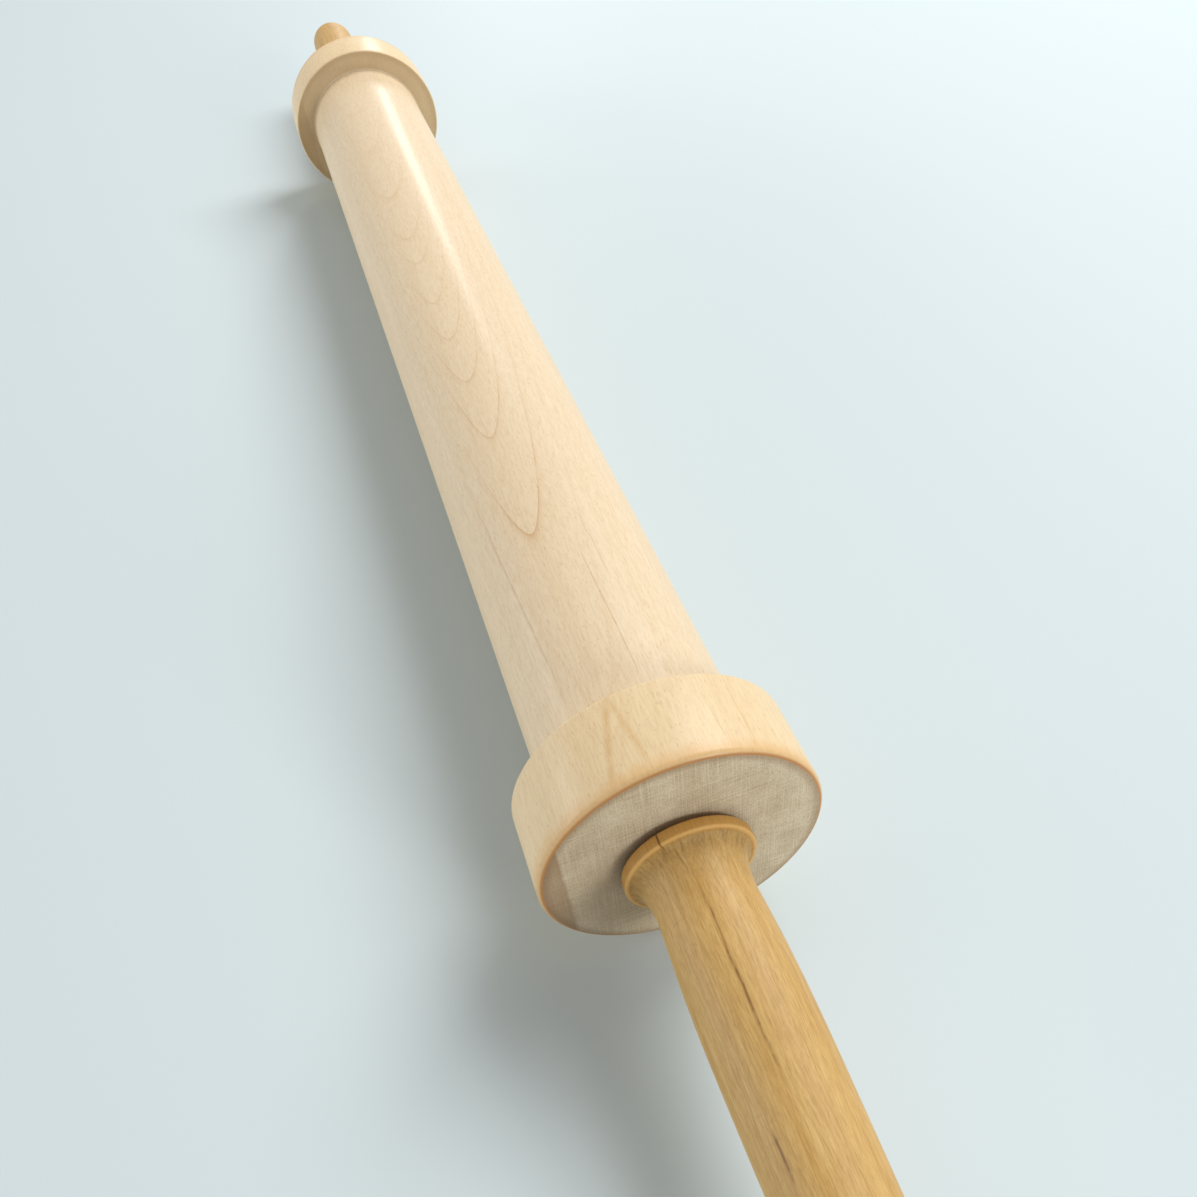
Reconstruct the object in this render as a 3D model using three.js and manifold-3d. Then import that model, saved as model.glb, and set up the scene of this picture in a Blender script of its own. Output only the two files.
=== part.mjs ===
// Rolling pin with depth rims. A maple barrel, turned in one piece with a raised rim at each end, runs on
// two ball bearings round a steel axle, and a turned handle is screwed to each end of the axle.
// Millimetres, +Z up, +X along the axle. The origin is under the middle of the barrel, level with the
// lowest line of the rims, so that the pin rests on z = 0.

import * as THREE from 'three';
import { mergeVertices } from 'three/addons/utils/BufferGeometryUtils.js';
import Module from 'manifold-3d';

const INCH = 25.4;

// Barrel. The rims stand proud of the rolling surface by the thickness of the dough.
const ROLLING_LENGTH = 18 * INCH;
const ROLLING_DIAMETER = 2.25 * INCH;
const DOUGH_DEPTH = 0.375 * INCH;
const RIM_WIDTH = 1 * INCH;
const RIM_END_ROUNDING = 1.8;
const RIM_INNER_ROUNDING = 0.8;
const SHOULDER_FILLET = 0.8;

// Handles.
const HANDLE_LENGTH = 4.75 * INCH;
const HANDLE_GAP = 1.8;
const COLLAR_DIAMETER = 1.375 * INCH;
const COLLAR_THICKNESS = 3.4;
const COLLAR_ROUNDING = 0.7;
const COVE_LIP = 0.9;
const COVE_LENGTH = 10.5;
const NECK_DIAMETER = 25.4;
const BELLY_DIAMETER = 27;
const BELLY_DISTANCE = 45;
const GRIP_END_DIAMETER = 23.8;
const DOME_LENGTH = 11;

// Axle and what is fixed to it.
const AXLE_DIAMETER = 0.375 * INCH;
const THREAD_SHOULDER = 0.8;
const THREAD_CHAMFER = 0.8;
const THREAD_RUNOUT = 3;
const JOURNAL_SHORTFALL = 0.45;
const RING_GROOVE_DEPTH = 0.35;
const SNAP_RING_THICKNESS = 0.65;
const SNAP_RING_WIDTH = 1.25;
const SNAP_RING_GAP_ANGLE = 46;
const LUG_RADIUS = 1.05;
const LUG_SHOULDER_ANGLE = 60;
const LUG_HOLE_RADIUS = 0.5;
const SPACER_WALL = 1.4;
const INSERT_LENGTH = 25;
const INSERT_WALL = 2.4;
const INSERT_FLANGE_WIDTH = 1.6;
const INSERT_FLANGE_THICKNESS = 1.2;
const INSERT_BORE_ALLOWANCE = 2;

// Deep-groove ball bearing, sized outwards from the axle.
const BALL_DIAMETER = 0.15625 * INCH;
const BALL_COUNT = 7;
const RACE_WALL = 1.04;
const GROOVE_DEPTH = 0.65;
const SHIELD_THICKNESS = 0.4;
const SHIELD_INSET = 0.43;
const SHIELD_SEAT_DEPTH = 0.45;
const SHIELD_LIP_CLEARANCE = 0.3;
const CAGE_BACK = 0.4;
const CAGE_PRONG = 1;
const BEARING_RECESS = 0.8;
const BORE_RELIEF_DEPTH = 3;
const THROUGH_BORE_CLEARANCE = 1;

// Clearances: pieces that are fitted together, pieces that roll past each other, and the cage.
const FIT_GAP = 0.05;
const RUNNING_GAP = 0.15;
const CAGE_GAP = 0.5;
const CAGE_SIDE_GAP = 0.2;

// Facets round each kind of piece, and steps along each kind of curve.
const BARREL_SIDES = 48;
const HANDLE_SIDES = 30;
const STEEL_SIDES = 24;
const CAGE_SIDES = 28;
const POCKET_SIDES = 16;
const BALL_DETAIL = 1;
const SMALL_EDGE_STEPS = 2;
const RIM_END_STEPS = 4;
const COVE_STEPS = 6;
const GRIP_STEPS = 8;
const DOME_STEPS = 5;
const GROOVE_STEPS = 5;
const SNAP_RING_STEPS = 16;
const LUG_STEPS = 6;
const LUG_HOLE_STEPS = 8;

// Radii and places that follow from the sizes above.
const rollingRadius = ROLLING_DIAMETER / 2;
const rimRadius = rollingRadius + DOUGH_DEPTH;
const barrelEnd = ROLLING_LENGTH / 2 + RIM_WIDTH;
const axisHeight = rimRadius * Math.cos(Math.PI / BARREL_SIDES);

const axleRadius = AXLE_DIAMETER / 2;
const threadRadius = axleRadius - THREAD_SHOULDER;
const ringGrooveRadius = axleRadius - RING_GROOVE_DEPTH;

const ballRadius = BALL_DIAMETER / 2;
const innerGrooveRadius = axleRadius + RACE_WALL;
const pitchRadius = innerGrooveRadius + RUNNING_GAP + ballRadius;
const outerGrooveRadius = pitchRadius + ballRadius + RUNNING_GAP;
const outerRaceRadius = outerGrooveRadius + RACE_WALL;
const innerLandRadius = innerGrooveRadius + GROOVE_DEPTH;
const outerLandRadius = outerGrooveRadius - GROOVE_DEPTH;
const shieldSeatRadius = outerLandRadius + SHIELD_SEAT_DEPTH;
const pocketRadius = ballRadius + RUNNING_GAP;
const cageBackFace = pocketRadius + CAGE_BACK;
const shieldInnerFace = cageBackFace + CAGE_SIDE_GAP;
const shieldOuterFace = shieldInnerFace + SHIELD_THICKNESS;
const bearingHalfWidth = shieldOuterFace + SHIELD_INSET;

const bearingOuterFace = barrelEnd - BEARING_RECESS;
const bearingCentre = bearingOuterFace - bearingHalfWidth;
const bearingInnerFace = bearingCentre - bearingHalfWidth;
const snapRingFace = bearingInnerFace - FIT_GAP;
const handleBack = barrelEnd + HANDLE_GAP;
const threadLength = INSERT_LENGTH - THREAD_RUNOUT;
const insertRadius = threadRadius + INSERT_WALL;
const insertFlangeRadius = insertRadius + INSERT_FLANGE_WIDTH;

const HALF_TURN = Math.PI;
const QUARTER_TURN = Math.PI / 2;

const FINISHES = {
  maple: { color: '#dbc29c', roughness: 0.45, metalness: 0 },
  birch: { color: '#bf9c5d', roughness: 0.38, metalness: 0 },
  axleSteel: { color: '#a9abad', roughness: 0.35, metalness: 1 },
  bearingSteel: { color: '#bfc2c5', roughness: 0.22, metalness: 1 },
  ballSteel: { color: '#d3d6d9', roughness: 0.08, metalness: 1 },
  nylon: { color: '#e2dccb', roughness: 0.5, metalness: 0 },
  springSteel: { color: '#3a3b3d', roughness: 0.45, metalness: 1 },
  brass: { color: '#b8954a', roughness: 0.3, metalness: 1 },
};

// One point of a turned outline: how far along the axle, and how far from it.
function at(axial, radius) {
  return new THREE.Vector2(axial, radius);
}

// Points along a round or oval stretch of an outline, from one angle to another in degrees.
function arc(centre, axialReach, radialReach, from, to, steps) {
  const clockwise = to < from;
  const start = THREE.MathUtils.degToRad(from);
  const end = THREE.MathUtils.degToRad(to);
  const curve = new THREE.EllipseCurve(centre.x, centre.y, axialReach, radialReach, start, end, clockwise);
  return curve.getPoints(steps);
}

// The radius of a hole with flat sides whose flats, and not its corners, clear a round piece.
function clearing(radius, gap, sides) {
  return (radius + gap) / Math.cos(Math.PI / sides);
}

// A solid turned about the X axis. Half a facet of turn puts a flat, not a corner, at the bottom.
function turned(outline, sides) {
  const points = outline.map((point) => new THREE.Vector2(point.y, point.x));
  const geometry = new THREE.LatheGeometry(points, sides, Math.PI / sides, 2 * Math.PI);
  return geometry.rotateZ(-QUARTER_TURN);
}

// The same for an outline that closes on itself, which leaves a bore.
function turnedRing(outline, sides) {
  return turned([...outline, outline[0]], sides);
}

// An outline's mirror image past the middle of the pin, read the other way.
function mirrored(outline) {
  return outline.map((point) => at(-point.x, point.y)).reverse();
}

const wasm = await Module();
wasm.setup();

function solidOf(geometry) {
  const bare = geometry.clone();
  bare.deleteAttribute('normal');
  bare.deleteAttribute('uv');
  const merged = mergeVertices(bare);
  return new wasm.Manifold(new wasm.Mesh({
    numProp: 3,
    vertProperties: new Float32Array(merged.attributes.position.array),
    triVerts: new Uint32Array(merged.index.array),
  }));
}

function geometryOf(solid) {
  const mesh = solid.getMesh();
  const geometry = new THREE.BufferGeometry();
  geometry.setAttribute('position', new THREE.BufferAttribute(mesh.vertProperties, 3));
  geometry.setIndex(new THREE.BufferAttribute(mesh.triVerts, 1));
  geometry.computeVertexNormals();
  return geometry;
}

function piece(name, geometry, finish) {
  const mesh = new THREE.Mesh(geometry, new THREE.MeshStandardMaterial(finish));
  mesh.name = name;
  return mesh;
}

// One end of the barrel, from the rolling surface over the rim, across the end face and down the bore.
function barrelEndOutline() {
  const shoulder = ROLLING_LENGTH / 2;
  const seatRadius = clearing(outerRaceRadius, FIT_GAP, BARREL_SIDES);
  const seatFloor = bearingInnerFace - FIT_GAP;
  const throughRadius = clearing(snapRingReach(), THROUGH_BORE_CLEARANCE, BARREL_SIDES);
  const fillet = at(shoulder - SHOULDER_FILLET, rollingRadius + SHOULDER_FILLET);
  const innerEdge = at(shoulder + RIM_INNER_ROUNDING, rimRadius - RIM_INNER_ROUNDING);
  const outerEdge = at(barrelEnd - RIM_END_ROUNDING, rimRadius - RIM_END_ROUNDING);
  return [
    ...arc(fillet, SHOULDER_FILLET, SHOULDER_FILLET, -90, 0, SMALL_EDGE_STEPS),
    ...arc(innerEdge, RIM_INNER_ROUNDING, RIM_INNER_ROUNDING, 180, 90, SMALL_EDGE_STEPS),
    ...arc(outerEdge, RIM_END_ROUNDING, RIM_END_ROUNDING, 90, 0, RIM_END_STEPS),
    at(barrelEnd, seatRadius),
    at(seatFloor, seatRadius),
    at(seatFloor, shieldSeatRadius),
    at(seatFloor - BORE_RELIEF_DEPTH, shieldSeatRadius),
    at(seatFloor - BORE_RELIEF_DEPTH, throughRadius),
  ];
}

function barrel() {
  const end = barrelEndOutline();
  return piece('barrel', turnedRing([...mirrored(end), ...end], BARREL_SIDES), FINISHES.maple);
}

// One end of the axle: the ring groove, the journal for the inner race and spacer, and the threaded stub.
// The journal stops short of the handle, so that the insert bears on the spacer.
function axleEndOutline() {
  const grooveOuter = snapRingFace + FIT_GAP;
  const grooveInner = snapRingFace - SNAP_RING_THICKNESS - FIT_GAP;
  const journalEnd = handleBack - JOURNAL_SHORTFALL;
  const threadEnd = handleBack + threadLength;
  return [
    at(grooveInner, axleRadius),
    at(grooveInner, ringGrooveRadius),
    at(grooveOuter, ringGrooveRadius),
    at(grooveOuter, axleRadius),
    at(journalEnd, axleRadius),
    at(journalEnd, threadRadius),
    at(threadEnd - THREAD_CHAMFER, threadRadius),
    at(threadEnd, threadRadius - THREAD_CHAMFER),
    at(threadEnd, 0),
  ];
}

function axle() {
  const end = axleEndOutline();
  return piece('axle', turned([...mirrored(end), ...end], STEEL_SIDES), FINISHES.axleSteel);
}

// A handle from its collar outwards: collar, cove, a grip that swells a little, and a domed end. The
// outline then comes back along the axis to the stepped hole for the insert.
function handle(name) {
  const collarRadius = COLLAR_DIAMETER / 2;
  const domeStart = HANDLE_LENGTH - DOME_LENGTH;
  const gripEndRadius = GRIP_END_DIAMETER / 2;
  const neck = at(COLLAR_THICKNESS + COVE_LENGTH, NECK_DIAMETER / 2);
  const backEdge = at(COLLAR_ROUNDING, collarRadius - COLLAR_ROUNDING);
  const frontEdge = at(COLLAR_THICKNESS - COLLAR_ROUNDING, collarRadius - COLLAR_ROUNDING);
  const coveCentre = at(neck.x, collarRadius - COVE_LIP);
  const coveDepth = coveCentre.y - neck.y;
  const grip = new THREE.SplineCurve([
    neck,
    at(BELLY_DISTANCE, BELLY_DIAMETER / 2),
    at(domeStart, gripEndRadius),
  ]);
  const flangeHole = clearing(insertFlangeRadius, FIT_GAP, HANDLE_SIDES);
  const flangeFloor = INSERT_FLANGE_THICKNESS + FIT_GAP;
  const insertHole = clearing(insertRadius, FIT_GAP, HANDLE_SIDES);
  const holeEnd = INSERT_LENGTH + INSERT_BORE_ALLOWANCE;
  const outline = [
    at(holeEnd, 0),
    at(holeEnd, insertHole),
    at(flangeFloor, insertHole),
    at(flangeFloor, flangeHole),
    at(0, flangeHole),
    ...arc(backEdge, COLLAR_ROUNDING, COLLAR_ROUNDING, 180, 90, SMALL_EDGE_STEPS),
    ...arc(frontEdge, COLLAR_ROUNDING, COLLAR_ROUNDING, 90, 0, SMALL_EDGE_STEPS),
    ...arc(coveCentre, COVE_LENGTH, coveDepth, 180, 270, COVE_STEPS),
    ...grip.getPoints(GRIP_STEPS).slice(1),
    ...arc(at(domeStart, 0), DOME_LENGTH, gripEndRadius, 90, 0, DOME_STEPS).slice(1),
  ];
  const mesh = piece(`${name}_handle`, turned(outline, HANDLE_SIDES), FINISHES.birch);
  mesh.position.x = handleBack;
  return mesh;
}

// The brass insert, flush with the handle's back face.
function insert(name) {
  const bore = clearing(threadRadius, FIT_GAP, STEEL_SIDES);
  const outline = [
    at(0, bore),
    at(0, insertFlangeRadius),
    at(INSERT_FLANGE_THICKNESS, insertFlangeRadius),
    at(INSERT_FLANGE_THICKNESS, insertRadius),
    at(INSERT_LENGTH, insertRadius),
    at(INSERT_LENGTH, bore),
  ];
  const mesh = piece(`${name}_insert`, turnedRing(outline, STEEL_SIDES), FINISHES.brass);
  mesh.position.x = handleBack;
  return mesh;
}

// The spacer keeps the handle's collar clear of the barrel and presses on the inner race alone.
function spacer(name) {
  const bore = clearing(axleRadius, FIT_GAP, STEEL_SIDES);
  const start = bearingOuterFace + FIT_GAP;
  const end = handleBack - FIT_GAP;
  const outline = [
    at(start, bore),
    at(start, bore + SPACER_WALL),
    at(end, bore + SPACER_WALL),
    at(end, bore),
  ];
  return piece(`${name}_spacer`, turnedRing(outline, STEEL_SIDES), FINISHES.bearingSteel);
}

function snapRingBore() {
  return clearing(ringGrooveRadius, FIT_GAP, SNAP_RING_STEPS);
}

// How far the lugs of the snap ring reach from the axle's middle.
function snapRingReach() {
  return snapRingBore() + 2 * LUG_RADIUS;
}

// The snap ring is an open ring with a round lug at each end of its gap, and a plier hole in each lug.
function snapRing(name) {
  const bore = snapRingBore();
  const middle = at(0, 0);
  const lugDistance = bore + LUG_RADIUS;
  const first = SNAP_RING_GAP_ANGLE / 2;
  const last = 360 - first;
  const outer = bore + SNAP_RING_WIDTH;
  const lugTurn = THREE.MathUtils.radToDeg(Math.asin(LUG_RADIUS / lugDistance));
  const [firstLug] = arc(middle, lugDistance, lugDistance, first, last, 1);
  const [lastLug] = arc(middle, lugDistance, lugDistance, last, first, 1);
  const outline = [
    ...arc(middle, outer, outer, first + lugTurn, last - lugTurn, SNAP_RING_STEPS),
    ...arc(lastLug, LUG_RADIUS, LUG_RADIUS, last - LUG_SHOULDER_ANGLE, last + 180, LUG_STEPS),
    ...arc(middle, bore, bore, last, first, SNAP_RING_STEPS).slice(1, -1),
    ...arc(firstLug, LUG_RADIUS, LUG_RADIUS, first + 180, first + 360 + LUG_SHOULDER_ANGLE, LUG_STEPS),
  ];
  const shape = new THREE.Shape(outline);
  for (const lug of [firstLug, lastLug]) {
    const hole = arc(lug, LUG_HOLE_RADIUS, LUG_HOLE_RADIUS, 360, 0, LUG_HOLE_STEPS);
    shape.holes.push(new THREE.Path(hole.slice(1)));
  }
  const geometry = new THREE.ExtrudeGeometry(shape, { depth: SNAP_RING_THICKNESS, bevelEnabled: false });
  const mesh = piece(`${name}_snap_ring`, geometry.rotateY(QUARTER_TURN), FINISHES.springSteel);
  mesh.position.x = snapRingFace - SNAP_RING_THICKNESS;
  return mesh;
}

// Half the angle, in degrees, that a groove spans about the ball's middle before it meets the land.
function grooveHalfAngle() {
  const landFromPitch = pocketRadius - GROOVE_DEPTH;
  return THREE.MathUtils.radToDeg(Math.acos(landFromPitch / pocketRadius));
}

function innerRace(name) {
  const bore = clearing(axleRadius, FIT_GAP, STEEL_SIDES);
  const span = grooveHalfAngle();
  const outline = [
    at(-bearingHalfWidth, bore),
    at(-bearingHalfWidth, innerLandRadius),
    ...arc(at(0, pitchRadius), pocketRadius, pocketRadius, 270 - span, 270 + span, GROOVE_STEPS),
    at(bearingHalfWidth, innerLandRadius),
    at(bearingHalfWidth, bore),
  ];
  return piece(`${name}_inner_race`, turnedRing(outline, STEEL_SIDES), FINISHES.bearingSteel);
}

// The outer race has a step at each side for a shield.
function outerRace(name) {
  const span = grooveHalfAngle();
  const outline = [
    at(bearingHalfWidth, outerRaceRadius),
    at(bearingHalfWidth, shieldSeatRadius),
    at(shieldInnerFace, shieldSeatRadius),
    at(shieldInnerFace, outerLandRadius),
    ...arc(at(0, pitchRadius), pocketRadius, pocketRadius, 90 - span, 90 + span, GROOVE_STEPS),
    at(-shieldInnerFace, outerLandRadius),
    at(-shieldInnerFace, shieldSeatRadius),
    at(-bearingHalfWidth, shieldSeatRadius),
    at(-bearingHalfWidth, outerRaceRadius),
  ];
  return piece(`${name}_outer_race`, turnedRing(outline, STEEL_SIDES), FINISHES.bearingSteel);
}

// A shield sits in the outer race's step and stops just short of the inner race. Side is 1 or -1.
function shield(name, side) {
  const shieldRadius = shieldSeatRadius - FIT_GAP;
  const lipRadius = clearing(innerLandRadius, SHIELD_LIP_CLEARANCE, STEEL_SIDES);
  const start = side > 0 ? shieldInnerFace + FIT_GAP : -shieldOuterFace;
  const end = side > 0 ? shieldOuterFace : -shieldInnerFace - FIT_GAP;
  const outline = [
    at(start, lipRadius),
    at(start, shieldRadius),
    at(end, shieldRadius),
    at(end, lipRadius),
  ];
  return piece(`${name}_shield`, turnedRing(outline, STEEL_SIDES), FINISHES.bearingSteel);
}

function ballAngle(index) {
  return (index * 2 * Math.PI) / BALL_COUNT;
}

// A crown cage: a ring with a round pocket for each ball, open on the side where the balls snap in.
function cage(name) {
  const inner = clearing(innerLandRadius, CAGE_GAP, STEEL_SIDES);
  const outer = outerLandRadius - CAGE_GAP;
  const drillLength = 2 * BALL_DIAMETER;
  const ring = turnedRing([
    at(-cageBackFace, inner),
    at(-cageBackFace, outer),
    at(CAGE_PRONG, outer),
    at(CAGE_PRONG, inner),
  ], CAGE_SIDES);
  let solid = solidOf(ring);
  for (let index = 0; index < BALL_COUNT; index += 1) {
    const pocket = new THREE.CylinderGeometry(pocketRadius, pocketRadius, drillLength, POCKET_SIDES);
    pocket.translate(0, pitchRadius, 0).rotateX(ballAngle(index));
    solid = solid.subtract(solidOf(pocket));
  }
  return piece(`${name}_cage`, geometryOf(solid), FINISHES.nylon);
}

function ball(name, index) {
  const mesh = piece(
    `${name}_ball_${index + 1}`,
    new THREE.IcosahedronGeometry(ballRadius, BALL_DETAIL),
    FINISHES.ballSteel,
  );
  const angle = ballAngle(index);
  mesh.position.set(0, pitchRadius * Math.cos(angle), pitchRadius * Math.sin(angle));
  return mesh;
}

// A bearing about its own middle, with its open cage side towards the handle.
function bearing(name) {
  const group = new THREE.Group();
  group.add(innerRace(name), outerRace(name), cage(name));
  group.add(shield(`${name}_outer`, 1), shield(`${name}_inner`, -1));
  for (let index = 0; index < BALL_COUNT; index += 1) {
    group.add(ball(name, index));
  }
  group.position.x = bearingCentre;
  return group;
}

// Everything at one end of the axle, laid out along +X.
function axleEnd(name) {
  const group = new THREE.Group();
  group.add(snapRing(name), bearing(name), spacer(name), insert(name), handle(name));
  return group;
}

const rollingPin = new THREE.Group();
const farEnd = axleEnd('far');
farEnd.rotation.z = HALF_TURN;
rollingPin.add(barrel(), axle(), axleEnd('near'), farEnd);
rollingPin.position.z = axisHeight;

export default rollingPin;
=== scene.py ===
# %% [markdown]
# # A rolling pin with depth rims
#
# The pin is turned from pale maple in one piece: a long barrel with a raised rim at each end, which keeps
# the barrel a set height over the board. It runs on a ball bearing at each end of a steel axle, and a
# darker birch handle is screwed to each end of that axle. This lesson dresses the finished solids: every
# turned piece is turned again, rounder and smoother, and the woods and metals are drawn with nodes.
#
# The solids come first. They stand in metres, with +Z up and +X along the axle, and nothing moves them.

# %% Load the solids
import math

import bpy
from mathutils import Color, Matrix, Vector
from mathutils.geometry import interpolate_bezier


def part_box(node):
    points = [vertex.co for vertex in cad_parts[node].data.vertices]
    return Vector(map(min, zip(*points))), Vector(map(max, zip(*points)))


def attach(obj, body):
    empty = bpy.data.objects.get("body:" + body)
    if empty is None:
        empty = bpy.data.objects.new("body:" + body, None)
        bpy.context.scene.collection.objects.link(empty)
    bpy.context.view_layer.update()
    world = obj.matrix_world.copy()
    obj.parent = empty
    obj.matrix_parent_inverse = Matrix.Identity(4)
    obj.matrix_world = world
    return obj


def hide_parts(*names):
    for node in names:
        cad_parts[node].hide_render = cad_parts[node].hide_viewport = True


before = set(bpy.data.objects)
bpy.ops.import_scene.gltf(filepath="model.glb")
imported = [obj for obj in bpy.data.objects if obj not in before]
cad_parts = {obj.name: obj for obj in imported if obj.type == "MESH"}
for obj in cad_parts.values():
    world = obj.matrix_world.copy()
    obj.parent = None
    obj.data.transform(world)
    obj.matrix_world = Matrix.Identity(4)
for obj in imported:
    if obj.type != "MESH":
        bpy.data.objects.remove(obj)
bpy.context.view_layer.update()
scene = bpy.context.scene
MM = 0.001


# %% [markdown]
# ## The camera
#
# The photograph was taken close to the near handle, from a little over the pin, so the far end looks small.
# A camera can be placed by eye, but here its place and its lens come from fitting the outlines of the
# barrel, the rims and the handle. The lens is given for a square picture and a 36 mm sensor. Once the camera
# is aimed, it is rolled by about one degree, which is a turn about its own line of sight.

# %% Place the camera
EYE = Vector((388.30, -62.35, 275.15)) * MM
AIM = Vector((164.00, 6.42, 40.04)) * MM
ROLL = math.radians(-1.116)
SENSOR = 36.0
LENS = 32.68


def camera_pose(eye, aim, roll):
    level = Matrix.LocRotScale(eye, (aim - eye).to_track_quat("-Z", "Y"), None)
    return level @ Matrix.Rotation(roll, 4, "Z")


camera_data = bpy.data.cameras.new("photo_camera")
camera_data.sensor_width = SENSOR
camera_data.lens = LENS
camera = bpy.data.objects.new("photo_camera", camera_data)
camera.matrix_world = camera_pose(EYE, AIM, ROLL)
scene.collection.objects.link(camera)
scene.camera = camera
scene.view_settings.view_transform = "Standard"
print("camera", round((EYE - AIM).length, 3), "m from its aim, lens", LENS, "mm")

# %% [markdown]
# ## Node sheets
#
# Materials and Geometry Nodes are both drawn as nodes and links. Writing each link by hand hides the idea,
# so one small class wraps a socket and another wraps the tree. Arithmetic on a wrapped socket adds a Math
# node, so that a formula can be read as a formula. Every other node comes from one method, which sets a
# node's settings first, because they decide which sockets it shows, and then fills or links its sockets.

# %% Wrap a socket
def operator(operation, reflected=False):
    """An operator of a wrapped socket. A reflected one, as in 1 - mask, swaps the two values."""
    def add_node(number, *others):
        values = (*others, number) if reflected else (number, *others)
        return number.sheet.maths(operation, *values)
    return add_node


class Number:
    """A socket that gives a number. Arithmetic with it adds Math nodes to its sheet."""

    def __init__(self, sheet, socket):
        self.sheet = sheet
        self.socket = socket

    __add__ = __radd__ = operator("ADD")
    __sub__ = operator("SUBTRACT")
    __rsub__ = operator("SUBTRACT", reflected=True)
    __mul__ = __rmul__ = operator("MULTIPLY")
    __truediv__ = operator("DIVIDE")
    __rtruediv__ = operator("DIVIDE", reflected=True)
    __pow__ = operator("POWER")
    __abs__ = operator("ABSOLUTE")


print("a wrapped socket can be used with + - * / ** and abs")

# %% Wrap a tree
class Sheet:
    """A node tree that is being drawn, for a material or for geometry."""

    def __init__(self, tree):
        self.tree = tree

    def node(self, kind, settings=None, sockets=None, output=0):
        node = self.tree.nodes.new(kind)
        for name, value in (settings or {}).items():
            if name == "points":
                self.set_points(node.mapping, value)
            else:
                setattr(node, name, value)
        self.fill(node, sockets or {})
        if isinstance(output, tuple):
            return [Number(self, node.outputs[name]) for name in output]
        return Number(self, node.outputs[output])

    def fill(self, node, sockets):
        """Set or link a node's inputs, which are given by number or by name."""
        for name, value in sockets.items():
            socket = node.inputs[name] if isinstance(name, int) else self.find(node.inputs, name)
            if isinstance(value, Number):
                self.tree.links.new(value.socket, socket)
            else:
                socket.default_value = value

    def find(self, inputs, name):
        """The input in use, because a node may hide others of the same name."""
        return next(socket for socket in inputs if socket.name == name and socket.enabled)

    def set_points(self, mapping, points):
        curve = mapping.curves[0]
        while len(curve.points) < len(points):
            curve.points.new(1.0, 1.0)
        for point, place in zip(curve.points, points):
            point.location = place
            point.handle_type = "VECTOR"
        mapping.update()

    def maths(self, operation, *values):
        return self.node("ShaderNodeMath", {"operation": operation}, dict(enumerate(values)))

    def distance(self, across, up):
        return self.maths("SQRT", across * across + up * up)

    def vector(self, x, y, z):
        return self.node("ShaderNodeCombineXYZ", {}, {0: x, 1: y, 2: z})

    def split(self, vector):
        return self.node("ShaderNodeSeparateXYZ", {}, {0: vector}, output=("X", "Y", "Z"))

    def mix(self, share, colour, other):
        return self.node("ShaderNodeMix", {"data_type": "RGBA"}, {0: share, 6: colour, 7: other}, output=2)

    def ease(self, value, start, end):
        sockets = {"Value": value, "From Min": start, "From Max": end}
        return self.node("ShaderNodeMapRange", {"interpolation_type": "SMOOTHSTEP"}, sockets)

    def noise(self, vector, detail=2.0, roughness=0.5):
        sockets = {"Vector": vector, "Scale": 1.0, "Detail": detail, "Roughness": roughness}
        return self.node("ShaderNodeTexNoise", {}, sockets)


print("a sheet has:", ", ".join(name for name in vars(Sheet) if not name.startswith("_")))

# %% [markdown]
# ## Colours
#
# Colours read from a picture are numbers from 0 to 255 with the screen's curve in them, while a shader wants
# plain light. One helper undoes the curve, so that every finish below can be written as it looks. Another
# starts a material and hands it over with its shader.

# %% From screen colours to light
def tint(*levels):
    screen = Color([level / 255 for level in levels])
    return (*screen.from_srgb_to_scene_linear(), 1.0)


def start_material(name):
    material = bpy.data.materials.new(name)
    material.use_nodes = True
    return material, material.node_tree.nodes["Principled BSDF"]


print("mid grey as light:", [round(value, 3) for value in tint(128, 128, 128)[:3]])

# %% [markdown]
# ## Floor, world and lamps
#
# The pin lies on a pale bench, lit by a big window high on its right, so its left flank and the near end
# face are in soft shade. The floor is a plain pale sheet with a slight polish. A narrow window beyond the
# far end draws the thin highlight along the far half of the barrel, a pale wall on the left lifts the shaded
# flank, and a small window in front reaches the handle's end. The world gives the light that the other walls
# send back. Where it is seen directly or in a reflection it is paler, as a white wall behind a bench is. The
# floor ends before the far window and the wall, so that neither burns a spot on it. The levels are low
# enough that a colour renders about as it is written.

# %% Lay the floor
FLOOR_HALF = 1.6
FLOOR_DROP = 0.1 * MM
FLOOR_TINT = tint(206, 219, 224)

pale_floor, floor_shader = start_material("pale_floor")
floor_look = {"Base Color": FLOOR_TINT, "Roughness": 0.6, "Specular IOR Level": 0.25}
Sheet(pale_floor.node_tree).fill(floor_shader, floor_look)
signs = [(-1, -1), (1, -1), (1, 1), (-1, 1)]
corners = [(x * FLOOR_HALF, y * FLOOR_HALF, -FLOOR_DROP) for x, y in signs]
floor_mesh = bpy.data.meshes.new("floor")
floor_mesh.from_pydata(corners, [], [(0, 1, 2, 3)])
floor_mesh.materials.append(pale_floor)
floor = bpy.data.objects.new("floor", floor_mesh)
scene.collection.objects.link(floor)
print("floor", 2 * FLOOR_HALF, "m across")

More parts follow.
